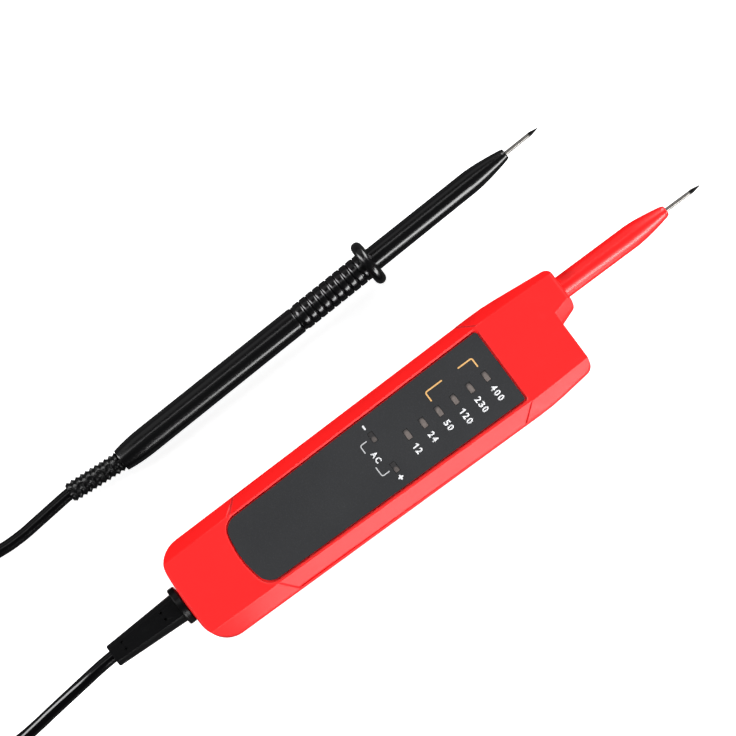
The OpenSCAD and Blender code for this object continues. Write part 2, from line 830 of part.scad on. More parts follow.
module control_chip() {
    size = [10, 4, 1.5];
    color("#1d1e20")
        in_frame()
            translate([chip_place[0], chip_place[1], board_low - size[2] - 0.2]) {
                cube(size);
                for (i = [0:7], s = [-1, 1])
                    translate([0.7 + i * 1.22, size[1] / 2 + s * (size[1] / 2 + 0.5) - 0.6, size[2] / 2])
                        cube([0.4, 1.2, size[2] / 2 + 0.2]);
            }
}

module rectifier() {
    size = [6.5, 5, 2.4];
    color("#242427")
        in_frame()
            translate([rectifier_place[0], rectifier_place[1], board_low - size[2] - 0.2]) {
                cube(size);
                for (x = [1, size[0] - 1.8], y = [-0.8, size[1] - 0.2])
                    translate([x, y, size[2] / 2])
                        cube([0.8, 1, size[2] / 2 + 0.2]);
            }
}

module capacitor() {
    h = 8;
    r = capacitor_r;
    color("#2b3a57")
        in_frame()
            translate([capacitor_place[0], capacitor_place[1], board_low - h])
                rotate_extrude()
                    polygon([[0, 0], [r - 0.4, 0], [r, 0.4], [r, h - 2], [r - 0.3, h - 1.7],
                        [r - 0.3, h - 1.3], [r, h - 1], [r, h], [0, h]]);
}

boot_inner_end = wall + 2.4;

// Boot of the unit: a moulded strain relief that grips the end wall between its collar and its flange
module boot_flats(end) {
    slope = atan2(boot_flat * (boot_root_r - boot_tip_r), boot_len);
    for (side = [0, 1])
        mirror([0, 0, side])
            translate([end, -collar_r, boot_flat * boot_tip_r])
                rotate([0, -slope, 0])
                    translate([-boot_len, 0, 0])
                        cube([2 * boot_len, 2 * collar_r, collar_r]);
}

module unit_boot() {
    dot_depth = 0.6;
    dot_r = 0.55;
    end = -collar_t - boot_len;
    color("#1b1b1d")
        in_frame()
            translate([0, 0, axis_z])
                difference() {
                    union() {
                        difference() {
                            turned([[end, 0], [end, boot_tip_r - 0.3], [end + 0.3, boot_tip_r],
                                [-collar_t, boot_root_r], [-collar_t, 0]]);
                            boot_flats(end);
                        }
                        turned([[-collar_t - 0.01, 0], [-collar_t - 0.01, boot_root_r - 1],
                            [-collar_t, collar_r - 0.4], [-collar_t + 0.4, collar_r], [-0.4, collar_r],
                            [0, collar_r - 0.4], [0, neck_r], [wall + 0.6, neck_r],
                            [wall + 0.6, inner_flange_r], [boot_inner_end, inner_flange_r],
                            [boot_inner_end, 0]]);
                    }
                    for (x = [end + 0.19 * boot_len, end + 0.79 * boot_len], y = [-0.9, 2])
                        translate([x, y, boot_flat * boot_tip_r - dot_depth])
                            cylinder(r = dot_r, h = 3);
                }
}

module unit_core() {
    start = boot_inner_end;
    core_end = board_x0 + 9.6;
    color("#c23b30")
        in_frame()
            tube([[start, 0, axis_z], [start + 3, 0, axis_z], [start + 6, -0.4, axis_z - 0.6],
                [start + 9, -1, axis_z - 0.9], [start + 12, -1.2, axis_z - 0.4],
                [start + 14, -1.2, board_low - core_r - gap], [core_end, -1.2, board_low - core_r - slip]],
                core_r, 8);
}

// Black probe

module probe_barrel() {
    spigot_end = -grip_len - spigot_len;
    pitch = (grip_len - 2) / rib_count;
    ribs = [for (i = [0:rib_count * 6]) let (x = -grip_len + 1 + i * pitch / 6)
        [x, rib_r - rib_depth * (1 + cos(60 * i)) / 2]];
    guard = arc([0, 0], rim_r, 180, -180, 10);
    x1 = barrel_len;
    point = pointed(x1, barrel_ogive, barrel_front_r, barrel_tip_r, 1.6, 0.4);
    color("#1b1b1d")
        in_probe()
            difference() {
                turned(concat([[spigot_end, 0], [spigot_end, spigot_r], [-grip_len, spigot_r],
                    [-grip_len, rib_r - rib_depth]], ribs, [[-rim_r, rib_r - rib_depth]],
                    [for (p = guard) [p[0], p[1] + guard_r - rim_r]], [[rim_r, barrel_root_r]], point));
                rod(spigot_end - 1, -grip_len, 2.3);
                rod(-grip_len - 1, x1 + 1, shank_r + slip);
            }
}

module probe_handle() {
    x0 = -handle_back;
    x1 = -grip_len - slip;
    rear = [for (i = [0:6]) let (a = 90 * i / 6)
        [x0 + (handle_back - handle_shoulder) * i / 6, handle_r - handle_drop * pow(1 - i / 6, 2)]];
    front = arc([x1 - 0.8, handle_r - 0.9], 0.8, 90, -90, 4);
    color("#1b1b1d")
        in_probe()
            difference() {
                turned(concat([[x0, 0]], rear, front, [[x1, 0]]));
                rod(x0 - 1, x1 + 1, handle_bore_r);
            }
}

module probe_boot() {
    pitch = probe_boot_len / boot_ribs;
    ribs = [for (i = [0:boot_ribs * 4]) let (x = -i * pitch / 4)
        [x - 0.01, probe_boot_core_r + (probe_boot_r - probe_boot_core_r) * (1 - cos(90 * i)) / 2]];
    color("#1b1b1d")
        in_probe()
            translate([-handle_back, 0, 0]) {
                rod(0, boot_plug_len, spigot_r);
                intersection() {
                    rotate([0, 0, -boot_bend])
                        turned(concat([[0.6, 0], [0.6, probe_boot_core_r]], ribs,
                            [[-probe_boot_len - 0.01, 0]]));
                    translate([-far, -far, -far])
                        cube([far, 2 * far, 2 * far]);
                }
            }
}

probe_needle_back = -grip_len - 6;

module probe_needle() {
    color("#b9bcc0")
        in_probe()
            turned(concat([[probe_needle_back, 0], [probe_needle_back, shank_r]],
                bare_needle(barrel_len, probe_needle_len)));
}

module probe_terminal() {
    color("#c8a24a")
        in_probe()
            difference() {
                rod(probe_needle_back - 6, -grip_len, 2.2);
                rod(probe_needle_back, 0, shank_r + slip);
            }
}

module probe_core() {
    color("#c23b30")
        in_probe()
            rod(-handle_back + boot_plug_len, probe_needle_back - 6, core_r);
}

// Lead

module lead_unit_side() {
    color("#151517")
        tube(unit_side_route, lead_r);
}

module lead_probe_side() {
    color("#151517")
        tube(probe_side_route, lead_r);
}

module lead_coil() {
    color("#151517")
        translate([coil_place[0], coil_place[1], 0])
            rotate_extrude() {
                translate([coil_inner_r - lead_r, coil_low + lead_r])
                    square([coil_r - coil_inner_r + lead_d, coil_high - coil_low - lead_d]);
                translate([coil_inner_r, coil_low])
                    square([coil_r - coil_inner_r, coil_high - coil_low]);
                for (r = [coil_inner_r, coil_r], z = [coil_low + lead_r, coil_high - lead_r])
                    translate([r, z])
                        circle(r = lead_r);
            }
}

module coil_tie() {
    inner = coil_inner_r - lead_r - 0.45;
    outer = coil_r + lead_r + gap;
    color("#2a2a2d")
        translate([coil_place[0], coil_place[1], 0])
            rotate([0, 0, -60])
                rotate([90, 0, 0])
                    translate([0, 0, -tie_w / 2])
                        linear_extrude(tie_w)
                            difference() {
                                translate([inner - tie_t, 0])
                                    square([outer - inner + 2 * tie_t, coil_high + gap + tie_t]);
                                translate([inner, tie_t])
                                    square([outer - inner, coil_high + gap - tie_t]);
                            }
}

front_shell();
rear_shell();
sealing_cord();
face_panel();
housing_screws();
probe_finger();
main_needle();
needle_terminal();
circuit_board();
board_screws();
lamp_cells();
lamp(0);  // led_12v
lamp(1);  // led_24v
lamp(2);  // led_50v
lamp(3);  // led_120v
lamp(4);  // led_230v
lamp(5);  // led_400v
lamp(6);  // led_minus
lamp(7);  // led_plus
input_resistors();
thermistor();
control_chip();
rectifier();
capacitor();
unit_boot();
unit_core();
probe_barrel();
probe_handle();
probe_boot();
probe_needle();
probe_terminal();
probe_core();
lead_unit_side();
lead_coil();
lead_probe_side();
coil_tie();
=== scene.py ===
"""Two-pole voltage tester: a red hand-held unit with a lamp panel and a needle finger, and a
black probe on the other end of its lead, laid out on a white floor.

Everything is in metres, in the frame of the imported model: +X along the unit towards its needle,
+Y towards the black probe, +Z up, with the origin on the unit's rest face.
"""
import logging
import math
from dataclasses import dataclass, field, replace
from enum import Enum
from typing import Callable, Sequence

import bmesh
import bpy
from mathutils import Matrix, Vector


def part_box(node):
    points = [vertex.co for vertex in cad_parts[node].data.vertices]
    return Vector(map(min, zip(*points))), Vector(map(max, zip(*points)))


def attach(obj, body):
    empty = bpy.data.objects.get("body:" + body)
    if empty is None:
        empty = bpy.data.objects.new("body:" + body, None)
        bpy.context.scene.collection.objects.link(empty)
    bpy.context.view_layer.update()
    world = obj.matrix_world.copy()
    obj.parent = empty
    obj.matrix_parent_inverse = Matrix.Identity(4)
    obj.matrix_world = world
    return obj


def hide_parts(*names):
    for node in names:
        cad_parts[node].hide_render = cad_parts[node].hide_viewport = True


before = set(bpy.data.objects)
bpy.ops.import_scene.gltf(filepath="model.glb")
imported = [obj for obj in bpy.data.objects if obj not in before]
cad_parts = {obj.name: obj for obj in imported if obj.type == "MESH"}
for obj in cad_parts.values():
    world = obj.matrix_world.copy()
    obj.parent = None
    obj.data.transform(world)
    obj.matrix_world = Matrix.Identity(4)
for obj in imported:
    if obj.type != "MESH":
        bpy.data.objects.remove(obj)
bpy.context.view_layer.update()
LOG = logging.getLogger("tester")
MM = 0.001
BODY = "root"

Point = tuple[float, float, float]
Place = tuple[float, float]
Colour = tuple[float, float, float]
Piece = bpy.types.Object
Material = bpy.types.Material

LEVELS = ("12", "24", "50", "120", "230", "400")
LAMPS = (*(level + "v" for level in LEVELS), "minus", "plus")
# How drawn metal's fine lines are stretched, and how deep they are.
DRAWN = (0.03, 1, 1)
DRAWN_DEPTH = 0.000006
# How close points of a copied mesh are when merged, and how level its faces are when joined.
WELD = 0.000002
FLAT = math.radians(0.3)
# How many steps round an edge, and how strongly large faces keep their shading flat.
EDGE_STEPS = 2
EVEN_WEIGHT = 70


def srgb(*channels: int) -> Colour:
    """Turn red, green and blue of 0 to 255 into the linear values that shaders take."""
    shares = (channel / 255 for channel in channels)
    return tuple(c / 12.92 if c <= 0.04045 else ((c + 0.055) / 1.055) ** 2.4 for c in shares)


class Noise(Enum):
    """Textures that vary a finish over its surface."""

    CLOUDS = "ShaderNodeTexNoise"
    GRAINS = "ShaderNodeTexVoronoi"


@dataclass
class Sock:
    """A shader socket that takes part in arithmetic; each expression adds its Math nodes."""

    shader: "Shader"
    socket: bpy.types.NodeSocket | None

    def _math(self, operation: str, *terms: object) -> "Sock":
        """Return the output of one Math node that takes sockets or numbers."""
        return self.shader.node("ShaderNodeMath", {"operation": operation}, dict(enumerate(terms)))

    def __add__(self, other: object) -> "Sock":
        """Add."""
        return self._math("ADD", self, other)

    def __sub__(self, other: object) -> "Sock":
        """Subtract."""
        return self._math("SUBTRACT", self, other)

    def __rsub__(self, other: object) -> "Sock":
        """Subtract from a number."""
        return self._math("SUBTRACT", other, self)

    def __mul__(self, other: object) -> "Sock":
        """Multiply."""
        return self._math("MULTIPLY", self, other)

    __radd__ = __add__
    __rmul__ = __mul__

    def size(self) -> "Sock":
        """Drop the sign."""
        return self._math("ABSOLUTE", self)

    def square(self) -> "Sock":
        """Multiply by itself."""
        return self._math("MULTIPLY", self, self)

    def clamped(self) -> "Sock":
        """Hold between 0 and 1."""
        return self.shader.node("ShaderNodeClamp", {}, {"Value": self})

    def ramp(self, low: float, high: float) -> "Sock":
        """Rise smoothly from 0 at low to 1 at high."""
        return self.shader.node("ShaderNodeMapRange", {"interpolation_type": "SMOOTHSTEP"},
                                {"Value": self, "From Min": low, "From Max": high})


class Shader:
    """The node tree of a material or of the world."""

    def __init__(self, name: str, world: bool = False) -> None:
        """Start with an empty tree.

        Args:
            name: The new material's or world's name.
            world: Whether it is a world.
        """
        self.owner = (bpy.data.worlds if world else bpy.data.materials).new(name)
        self.owner.use_nodes = True
        self.tree = self.owner.node_tree
        self.tree.nodes.clear()

    def _plug(self, socket: bpy.types.NodeSocket, value: object) -> None:
        """Link a socket or set its value.

        Args:
            socket: The input.
            value: A Sock, a number or a colour.
        """
        if isinstance(value, Sock):
            self.tree.links.new(value.socket, socket)
        elif socket.type == "RGBA" and len(value) == 3:
            socket.default_value = (*value, 1)
        else:
            socket.default_value = value

    def node(self, kind: str, settings: dict[str, object], links: dict[object, object],
             output: object = 0) -> Sock:
        """Add a node.

        Args:
            kind: The node's type.
            settings: Its properties, set first.
            links: Input names or numbers, with a Sock or a value each.
            output: The wanted output.

        Returns:
            The output, with no socket for a node that has none.
        """
        made = self.tree.nodes.new(kind)
        for key, value in settings.items():
            setattr(made, key, value)
        for key, value in links.items():
            self._plug(made.inputs[key], value)
        return Sock(self, made.outputs[output] if made.outputs else None)

    def here(self) -> Sock:
        """Return the object coordinates."""
        return self.node("ShaderNodeTexCoord", {}, {}, "Object")

    def place(self, scale: Point) -> Sock:
        """Return the object coordinates, stretched along each axis whose scale is below 1."""
        return self.node("ShaderNodeMapping", {}, {"Vector": self.here(), "Scale": scale})

    def noise(self, scale: float, detail: float = 3, rough: float = 0.5, kind: Noise = Noise.CLOUDS,
              at: Sock | None = None) -> Sock:
        """Return noise from 0 to 1.

        Args:
            scale: Features per metre.
            detail: Octaves.
            rough: How strong the fine octaves are.
            kind: Which texture.
            at: Coordinates, or none for plain object coordinates.

        Returns:
            The noise's value.
        """
        links = {"Vector": at or self.here(), "Scale": scale}
        if kind is Noise.GRAINS:
            return self.node(kind.value, {}, links, "Distance")
        return self.node(kind.value, {}, links | {"Detail": detail, "Roughness": rough})

    def axis(self, which: str) -> Sock:
        """Return one object coordinate, X, Y or Z, in metres."""
        return self.node("ShaderNodeSeparateXYZ", {}, {"Vector": self.here()}, which)

    def blend(self, factor: object, first: object, second: object) -> Sock:
        """Mix two colours, where the factor says how much of the second shows."""
        return self.node("ShaderNodeMix", {"data_type": "RGBA"}, {0: factor, 6: first, 7: second}, 2)

    def bump(self, height: Sock, distance: float) -> Sock:
        """Turn a height, with its size in metres, into a normal."""
        return self.node("ShaderNodeBump", {}, {"Height": height, "Distance": distance})

    def done(self, **inputs: object) -> Material:
        """End the tree in a Principled shader and hand over the material.

        Args:
            inputs: The shader's inputs, with spaces written as underscores.

        Returns:
            The material.
        """
        links = {key.replace("_", " "): value for key, value in inputs.items()}
        surface = self.node("ShaderNodeBsdfPrincipled", {}, links)
        self.node("ShaderNodeOutputMaterial", {}, {"Surface": surface})
        return self.owner


@dataclass(frozen=True)
class Moulded:
    """A moulded plastic or rubber: a body colour with faint clouds, a fine grain and soft scuffs.

    Its roughness swings with the clouds, and smoothest and scuff_rough are shares of that swing.

    A seam is a dull line in both flanks above seam_low, with painted shade: a darker red that stands
    in for the shadow in the step at each end of the grip recess. It is given by the X and the sideways
    distance where it begins, and by how far it moves along X for each metre sideways.
    """

    name: str
    colour: Colour
    tint: Colour
    rough: float = 0.35
    rough_swing: float = 0.1
    grain: float = 2600
    grain_depth: float = 0.00001
    ripple: float = 60
    ripple_depth: float = 0.00004
    specular: float = 0.5
    coat: float = 0.0
    coat_rough: float = 0.12
    clouds: float = 35
    cloud_edge: Place = (0.35, 0.7)
    smoothest: float = 0.6
    scuffs: float = 260
    scuff_stretch: Point = (0.35, 1, 1)
    scuff_edge: Place = (0.56, 0.75)
    scuff_rough: float = 0.8
    seams: tuple[Point, ...] = ()
    seam_low: float = 0.0174
    seam_edge: Place = (0.00025, 0.00075)
    seam_start: float = 0.0004
    seam_foot: float = 0.0002
    seam_rough: float = 0.5
    seam_shade_colour: Colour = (0.0, 0.0, 0.0)

    def seam(self, s: Shader) -> Sock:
        """Find the seams.

        Args:
            s: The material's shader.

        Returns:
            1 on a seam and 0 beside it.
        """
        total: Sock | float = 0.0
        side = s.axis("Y").size()
        for along, across, slope in self.seams:
            off = (s.axis("X") - along - (side - across) * slope).size()
            total = (1 - off.ramp(*self.seam_edge)) * side.ramp(across, across + self.seam_start) + total
        return total * s.axis("Z").ramp(self.seam_low, self.seam_low + self.seam_foot)

    def material(self) -> Material:
        """Make the material.

        Returns:
            The material.
        """
        s = Shader(self.name)
        clouds = s.noise(self.clouds, detail=4)
        fine = s.noise(self.grain, detail=2, rough=0.6)
        wave = s.noise(self.ripple, detail=1)
        scuff = s.noise(self.scuffs, detail=6, rough=0.7, at=s.place(self.scuff_stretch))
        height = fine * (self.grain_depth / self.ripple_depth) + wave
        body = s.blend(clouds.ramp(*self.cloud_edge), self.colour, self.tint)
        least = self.rough - self.smoothest * self.rough_swing
        marks = scuff.ramp(*self.scuff_edge) * (self.scuff_rough * self.rough_swing)
        rough = clouds * self.rough_swing + marks + least
        if self.seams:
            # The seam makes the surface duller, and its darker red is painted shade for the shadow in the
            # step.
            seam = self.seam(s)
            body, rough = s.blend(seam, body, self.seam_shade_colour), rough + seam * self.seam_rough
        return s.done(Base_Color=body, Roughness=rough, Normal=s.bump(height, self.ripple_depth),
                      Specular_IOR_Level=self.specular, Coat_Weight=self.coat,
                      Coat_Roughness=self.coat_rough)


@dataclass(frozen=True)
class Metal:
    """A drawn or plated metal with fine lines along X."""

    name: str
    colour: Colour
    dark: Colour
    rough: float = 0.25
    lines: float = 4000

    def material(self) -> Material:
        """Make the material.

        Returns:
            The material.
        """
        s = Shader(self.name)
        drawn = s.noise(self.lines, detail=3, rough=0.6, at=s.place(DRAWN))
        blotch = s.noise(300, detail=4)
        return s.done(Base_Color=s.blend(blotch.ramp(0.45, 0.8), self.colour, self.dark),
                      Roughness=drawn * 0.18 + (self.rough - 0.06),
                      Normal=s.bump(drawn, DRAWN_DEPTH), Metallic=1.0)


@dataclass(frozen=True)
class Needle:
    """A needle's steel, which is blackened along its sharpened end."""

    name: str
    start: float
    end: float
    steel: Colour = srgb(150, 147, 143)
    worn: Colour = srgb(118, 115, 112)
    burnt: Colour = srgb(14, 12, 12)
    metallic: float = 0.85
    specular: float = 0.12

    def material(self) -> Material:
        """Make the material.

        Returns:
            The material.
        """
        s = Shader(self.name)
        drawn = s.noise(5000, detail=3, rough=0.6, at=s.place(DRAWN))
        blotch = s.noise(400, detail=4)
        black = (s.axis("X") + blotch * 0.0006).ramp(self.start, self.end)
        bright = s.blend(blotch.ramp(0.4, 0.8), self.steel, self.worn)
        return s.done(Base_Color=s.blend(black, bright, self.burnt), Roughness=drawn * 0.15 + 0.3,
                      Normal=s.bump(drawn, DRAWN_DEPTH), Metallic=self.metallic - black * self.metallic,
                      Specular_IOR_Level=self.specular)


@dataclass(frozen=True)
class Panel:
    """The face panel's printed foil: dark grey, with a fine screen texture."""

    name: str = "panel_foil"
    colour: Colour = srgb(41, 42, 44)
    tint: Colour = srgb(46, 47, 49)
    speck_colour: Colour = srgb(70, 70, 74)
    speck_cover: float = 0.35

    def material(self) -> Material:
        """Make the material.

        Returns:
            The material.
        """
        s = Shader(self.name)
        screen = s.noise(1500, detail=1, kind=Noise.GRAINS)
        clouds = s.noise(22, detail=3)
        speck = s.noise(3000, detail=2).ramp(0.5, 0.85) * self.speck_cover
        base = s.blend(clouds.ramp(0.3, 0.75), self.colour, self.tint)
        return s.done(Base_Color=s.blend(speck, base, self.speck_colour), Roughness=clouds * 0.12 + 0.42,
                      Normal=s.bump(screen, distance=0.00002), Specular_IOR_Level=0.45)


@dataclass(frozen=True)
class Ink:
    """Screen printed ink, a little uneven in its cover."""

    name: str
    colour: Colour
    thin: Colour

    def material(self) -> Material:
        """Make the material.

        Returns:
            The material.
        """
        s = Shader(self.name)
        cover = s.noise(1800, detail=3, rough=0.6)
        return s.done(Base_Color=s.blend(cover.ramp(0.42, 0.8), self.colour, self.thin),
                      Roughness=cover * 0.15 + 0.45, Normal=s.bump(cover, distance=0.000008))


@dataclass(frozen=True)
class Lamp:
    """A cast lamp that is off: cloudy resin with a painted reflection, paler over its reflector, and dark
    towards its rim. Clear sets how strongly the painted reflection shows.
    """

    name: str
    middle: Place
    clear: float = 1.0
    half: Place = (0.0012, 0.0021)
    reflector: float = -0.0006
    # The colours of the painted reflection over the reflector, and the dark rim's colour.
    pale: Colour = srgb(120, 111, 107)
    cloudy: Colour = srgb(104, 96, 93)
    rim: Colour = srgb(46, 45, 46)

    def material(self) -> Material:
        """Make the material.

        Returns:
            The material.
        """
        s = Shader(self.name)
        clouds = s.noise(900, detail=4, rough=0.6)
        off_x = ((s.axis("X") - self.middle[0]) * (1 / self.half[0])).square()
        off_y = ((s.axis("Y") - (self.middle[1] + self.reflector)) * (1 / self.half[1])).square()
        # Painted reflection: the resin is paler over its reflector and dark towards its rim.
        reflection_spot = (1 - (off_x + off_y).ramp(0.25, 1.7)) * self.clear
        body = s.blend(clouds.ramp(0.3, 0.7), self.pale, self.cloudy)
        return s.done(Base_Color=s.blend(reflection_spot, self.rim, body), Roughness=clouds * 0.1 + 0.42,
                      Normal=s.bump(clouds, distance=0.00002), Coat_Weight=0.1)


@dataclass(frozen=True)
class Board:
    """Solder mask over copper tracks."""

    name: str = "circuit_board_mask"
    mask: Colour = srgb(24, 92, 48)
    track: Colour = srgb(40, 128, 66)

    def material(self) -> Material:
        """Make the material.

        Returns:
            The material.
        """
        s = Shader(self.name)
        along = s.noise(160, detail=0, at=s.place((0.15, 1, 1)))
        track = along.ramp(0.49, 0.5) * (1 - along.ramp(0.54, 0.55))
        weave = s.noise(2500, detail=1)
        return s.done(Base_Color=s.blend(track, self.mask, self.track),
                      Roughness=weave * 0.1 + 0.3, Normal=s.bump(track, distance=0.00003))


# The red's seams are painted shade: a darker red for the shadow in the grip recess's steps.
RED = Moulded("red_shell", srgb(252, 27, 27), srgb(248, 23, 24), rough=0.48, rough_swing=0.08,
              ripple=25, ripple_depth=0.00003, seam_shade_colour=srgb(204, 20, 24),
              seams=((0.0597, 0.0169, -1.371), (-0.0534, 0.0151, 0.909)))
RED_FINGER = Moulded("red_finger", srgb(250, 30, 30), srgb(244, 26, 27), rough=0.34, rough_swing=0.06,
                     ripple=40, ripple_depth=0.00002, specular=0.65)
BLACK = Moulded("black_moulding", srgb(9, 9, 10), srgb(6, 6, 7), rough=0.23, rough_swing=0.06,
                ripple=90, ripple_depth=0.00002, specular=0.65)
BLACK_SOFT = Moulded("black_soft", srgb(7, 7, 8), srgb(5, 5, 6), rough=0.3, grain=2400,
                     grain_depth=0.00004, ripple=120, ripple_depth=0.00003, specular=0.35)
BLACK_LEAD = Moulded("black_lead", srgb(5, 5, 6), srgb(4, 4, 5), rough=0.15, rough_swing=0.05,
                     grain=3000, ripple=45, coat=0.15)
SEAL = Moulded("seal_rubber", srgb(34, 34, 35), srgb(26, 26, 27), rough=0.7)
STRAP = Moulded("strap_nylon", srgb(40, 40, 43), srgb(30, 30, 33), rough=0.6, grain=1800,
                grain_depth=0.00004)
CELL = Moulded("lamp_cell_black", srgb(26, 26, 28), srgb(20, 20, 22), rough=0.7)
CHIP = Moulded("chip_epoxy", srgb(38, 38, 40), srgb(30, 30, 32), rough=0.6)
LACQUER = Moulded("resistor_lacquer", srgb(66, 112, 150), srgb(54, 96, 132), rough=0.45)
DIPPED = Moulded("thermistor_dip", srgb(206, 140, 48), srgb(186, 122, 40), rough=0.5)
SLEEVE = Moulded("capacitor_sleeve", srgb(40, 56, 92), srgb(32, 46, 78), rough=0.35)
WIRE = Moulded("core_insulation", srgb(194, 54, 44), srgb(174, 44, 38), rough=0.5)
SCREW = Metal("screw_zinc", srgb(168, 170, 174), srgb(126, 127, 131), rough=0.32)
BRASS = Metal("brass", srgb(206, 170, 92), srgb(176, 140, 72), rough=0.28)
WHITE_INK = Ink("white_ink", srgb(236, 237, 239), srgb(206, 208, 212))
GREY_INK = Ink("grey_ink", srgb(196, 197, 199), srgb(168, 169, 172))
ORANGE_INK = Ink("orange_ink", srgb(232, 184, 118), srgb(214, 158, 88))


# Modelling by hand.


def deselect() -> None:
    """Leave edit mode and select nothing."""
    if bpy.context.object and bpy.context.object.mode != "OBJECT":
        bpy.ops.object.mode_set(mode="OBJECT")
    bpy.ops.object.select_all(action="DESELECT")


def only(obj: Piece) -> None:
    """Select one object and make it the active one.

    Args:
        obj: The object.
    """
    deselect()
    obj.select_set(True)
    bpy.context.view_layer.objects.active = obj


def apply_place(obj: Piece) -> None:
    """Put an object's place, turn and size into its mesh."""
    only(obj)
    bpy.ops.object.transform_apply(location=True, rotation=True, scale=True)


def edit_all(obj: Piece) -> None:
    """Open a piece in edit mode, with its whole mesh selected.

    Args:
        obj: The piece.
    """
    only(obj)
    bpy.ops.object.mode_set(mode="EDIT")
    bpy.ops.mesh.select_all(action="SELECT")


def thicken(obj: Piece, height: float) -> None:
    """Give an open mesh a thickness along Z.

    Args:
        obj: The piece.
        height: The thickness in metres, below 0 for downwards.
    """
    edit_all(obj)
    bpy.ops.mesh.extrude_region_move(TRANSFORM_OT_translate={"value": (0, 0, height)})
    bpy.ops.mesh.select_all(action="SELECT")
    bpy.ops.mesh.normals_make_consistent(inside=False)
    bpy.ops.object.mode_set(mode="OBJECT")


@dataclass(frozen=True)
class Edge:
    """How wide a piece's edges are rounded, in metres, and how sharp they are for it, in degrees.

    Edges flatter than smooth, in degrees, are shaded smooth.
    """

    width: float = 0.0
    angle: float = 38
    smooth: float = 32


def smooth(obj: Piece, edge: Edge) -> None:
    """Smooth the shading over an object's edges, with large faces kept flat.

    Args:
        obj: The piece.
        edge: Its edges.
    """
    only(obj)
    bpy.ops.object.shade_smooth_by_angle(angle=math.radians(edge.smooth))
    even = obj.modifiers.new("even", "WEIGHTED_NORMAL")
    even.keep_sharp, even.weight = True, EVEN_WEIGHT
    bpy.ops.object.modifier_apply(modifier=even.name)


def copy_of(node: str, name: str, flatten: bool = True) -> Piece:
    """Copy a CAD node's mesh, with its loose triangles merged and its flat faces joined.

    Args:
        node: The CAD node.
        name: The new piece.
        flatten: Whether flat faces are joined, which a face with many holes isn't fit for.

    Returns:
        The copy, at the origin.
    """
    obj = bpy.data.objects.new(name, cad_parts[node].data.copy())
    bpy.context.scene.collection.objects.link(obj)
    edit_all(obj)
    bpy.ops.mesh.remove_doubles(threshold=WELD)
    if flatten:
        bpy.ops.mesh.dissolve_limited(angle_limit=FLAT)
    bpy.ops.object.mode_set(mode="OBJECT")
    return obj


def bevelled(obj: Piece, edge: Edge) -> None:
    """Round an object's sharp edges with an applied Bevel.

    Args:
        obj: The piece.
        edge: Its edges.
    """
    only(obj)
    bevel = obj.modifiers.new("edge", "BEVEL")
    bevel.width, bevel.segments, bevel.limit_method = edge.width, EDGE_STEPS, "ANGLE"
    bevel.angle_limit, bevel.harden_normals = math.radians(edge.angle), False
    bevel.miter_outer = "MITER_ARC"
    bpy.ops.object.modifier_apply(modifier=bevel.name)


def finish_piece(obj: Piece, material: Material, stands_for: Sequence[str] = ()) -> Piece:
    """Give a piece its material and its place in the model.

    Args:
        obj: The piece.
        material: Its finish.
        stands_for: CAD nodes that it replaces.

    Returns:
        The same piece.
    """
    obj.data.materials.clear()
    obj.data.materials.append(material)
    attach(obj, BODY)
    if stands_for:
        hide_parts(*stands_for)
    LOG.info("made %s", obj.name)
    return obj


def dress(node: str, name: str, material: Material, edge: Edge = Edge(),
          flatten: bool = True, shape: Callable[[Piece], None] | None = None) -> Piece:
    """Replace a CAD node by a copy with rounded edges, smooth shading and a finish.

    Args:
        node: The CAD node.
        name: The new piece.
        material: Its finish.
        edge: Its edges.
        flatten: Whether flat faces are joined first.
        shape: What forms the mesh after the bevel, if anything does.

    Returns:
        The piece.
    """
    piece = copy_of(node, name, flatten)
    if edge.width:
        bevelled(piece, edge)
    if shape:
        shape(piece)
    smooth(piece, edge)
    return finish_piece(piece, material, [node])


def joined(parts: Sequence[Piece], name: str) -> Piece:
    """Join pieces into one.

    Args:
        parts: The pieces.
        name: The whole's name.

    Returns:
        The whole.
    """
    deselect()
    for part in parts:
        part.select_set(True)
    bpy.context.view_layer.objects.active = parts[0]
    bpy.ops.object.join()
    parts[0].name = name
    return parts[0]


# The picture.


@dataclass(frozen=True)
class Light:
    """A soft rectangular light that looks at the object.

    It stands in the direction towards, as far off as its distance in metres. Its radiance is how
    bright its face is, where 1 is white paper.
    """

    name: str
    towards: Point
    distance: float
    size: Place
    radiance: float


